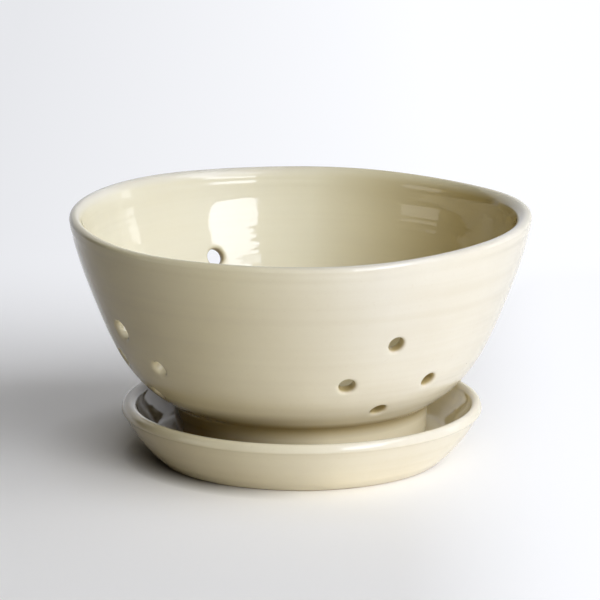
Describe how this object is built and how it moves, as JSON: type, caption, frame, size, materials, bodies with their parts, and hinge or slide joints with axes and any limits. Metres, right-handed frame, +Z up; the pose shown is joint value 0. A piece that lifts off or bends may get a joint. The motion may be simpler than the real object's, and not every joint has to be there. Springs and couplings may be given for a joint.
{
  "type": "berry colander bowl",
  "caption": "Round glazed stoneware bowl with clusters of drain holes and a foot ring, standing in a shallow drip saucer.",
  "frame": {"origin": "on the table, at the middle of the saucer's flat base, under the axis that both pieces were turned on", "axes": "+Z up along the axis of both pieces, +X to the right and +Y away as the picture sees it"},
  "size_m": [0.165, 0.1647, 0.0892],
  "materials": {
    "bowl_glaze": "gloss",
    "saucer_glaze": "gloss"
  },
  "bodies": {
    "saucer": {"saucer": "saucer_glaze"},
    "bowl": {"colander_bowl": "bowl_glaze"}
  },
  "joints": [
    {"name": "bowl_lift", "type": "slide", "parent": "saucer", "child": "bowl", "axis": [0, 0, 1], "range_m": [0, 0.08]}
  ]
}
